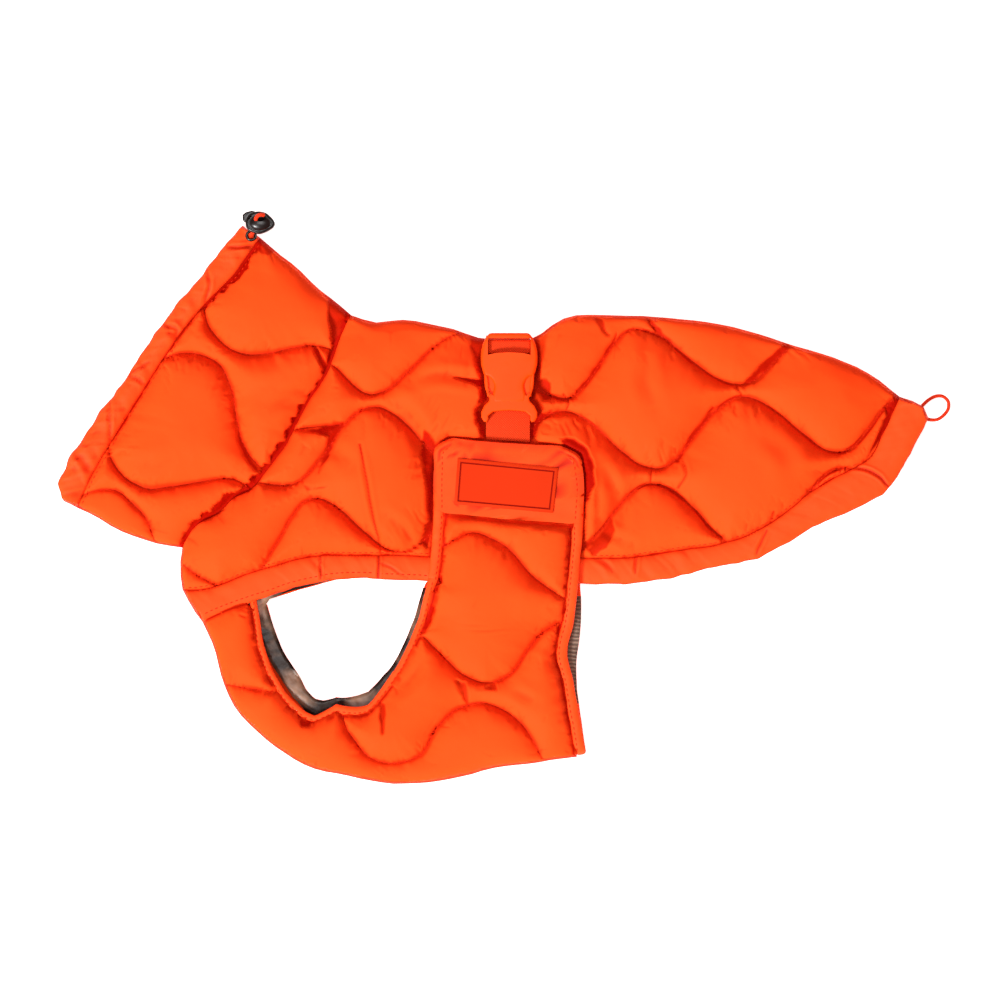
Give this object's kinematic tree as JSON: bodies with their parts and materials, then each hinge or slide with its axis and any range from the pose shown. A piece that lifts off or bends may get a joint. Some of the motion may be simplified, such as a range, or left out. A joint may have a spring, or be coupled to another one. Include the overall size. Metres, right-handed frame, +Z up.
{
  "type": "dog winter coat",
  "caption": "Quilted padded dog coat lying flat on its side, with a drawstring collar, belly flap, strap with side-release buckle, and tail loop.",
  "frame": {"origin": "on the surface that the coat lies on, under the middle of its length and width", "axes": "+X from the head opening to the tail, +Y from the belly to the back edge, +Z up from the far side to the near side that shows"},
  "size_m": [0.5073, 0.325, 0.0312],
  "materials": {
    "padded_cloth": "smooth matt-satin nylon shell over padding",
    "binding_tape": "folded nylon binding tape with a stitch line",
    "satin_lining": "dark brown satin lining",
    "fleece_lining": "taupe brushed lining",
    "label_rubber": "soft moulded rubber, bare, with a raised double frame",
    "webbing": "woven nylon webbing",
    "buckle_plastic": "smooth satin orange acetal",
    "eyelet_metal": "dark plated metal",
    "lock_plastic": "glossy black plastic",
    "elastic_cord": "braided elastic cord"
  },
  "bodies": {
    "root": {"back_panel": "padded_cloth", "collar": "padded_cloth", "drawstring_channel": "padded_cloth", "front_hem_band": "padded_cloth", "rear_hem_band": "padded_cloth", "chest_panel": "padded_cloth", "label_yoke": "padded_cloth", "flap_binding": "binding_tape", "leg_binding_near": "binding_tape", "leg_binding_far": "binding_tape", "leg_lining": "satin_lining", "flap_lining": "fleece_lining", "label_plate": "label_rubber", "strap_lower": "webbing", "strap_upper": "webbing", "buckle_socket": "buckle_plastic", "buckle_prongs": "buckle_plastic", "eyelet": "eyelet_metal", "cord_lock_body": "lock_plastic", "cord_lock_button": "lock_plastic", "drawstring_end": "elastic_cord", "drawstring_knot": "elastic_cord", "tail_loop": "elastic_cord"}
  },
  "joints": []
}
